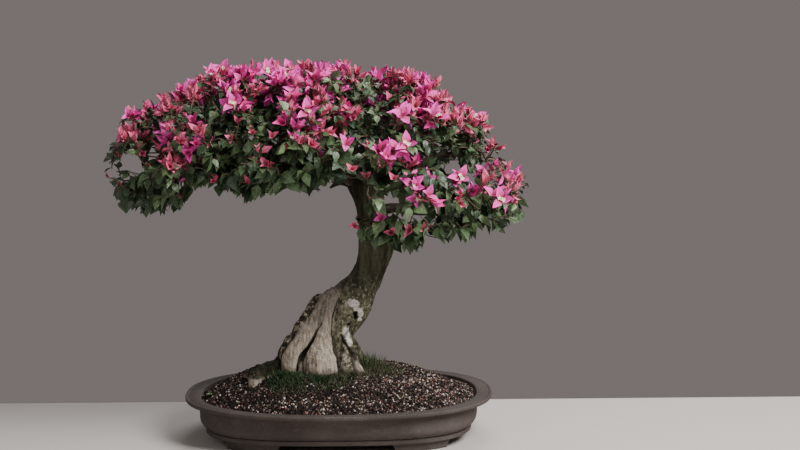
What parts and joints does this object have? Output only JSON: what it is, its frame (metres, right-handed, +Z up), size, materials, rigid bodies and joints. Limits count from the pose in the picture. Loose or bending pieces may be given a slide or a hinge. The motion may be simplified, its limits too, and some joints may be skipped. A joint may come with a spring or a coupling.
{
  "type": "potted bonsai tree",
  "caption": "Bougainvillea bonsai with a leaning old trunk, a wide crown of magenta bracts and green leaves, in a shallow oval pot on feet.",
  "frame": {"origin": "on the table, under the middle of the whole tree's box", "axes": "+Z up; +X along the pot's length, towards the side that the trunk leans to; -Y is the side the picture shows"},
  "size_m": [0.6629, 0.4318, 0.5857],
  "materials": {
    "pot_clay": "unglazed, matte",
    "soil_grit": "loose grit of mixed grains",
    "bark": "rough bark with bare, weathered wood at the foot",
    "foliage": "living leaves and papery bracts"
  },
  "bodies": {
    "root": {"pot": "pot_clay", "soil": "soil_grit", "trunk": "bark", "surface_root": "bark", "bough_left": "bark", "bough_top": "bark", "bough_right": "bark", "bough_front": "bark", "bough_back": "bark", "bough_top_left": "bark", "bough_left_front": "bark", "bough_left_back": "bark", "bough_left_low": "bark", "bough_left_high": "bark", "bough_top_right": "bark", "bough_right_front": "bark", "bough_right_back": "bark", "bough_low": "bark", "bough_clump": "bark", "foliage_left_tip": "foliage", "foliage_left_high": "foliage", "foliage_left_front": "foliage", "foliage_left_back": "foliage", "foliage_left_low": "foliage", "foliage_top_left": "foliage", "foliage_front": "foliage", "foliage_top": "foliage", "foliage_back": "foliage", "foliage_top_right": "foliage", "foliage_right_front": "foliage", "foliage_right_back": "foliage", "foliage_right_tip": "foliage", "foliage_right_low": "foliage", "foliage_clump": "foliage"}
  },
  "joints": []
}
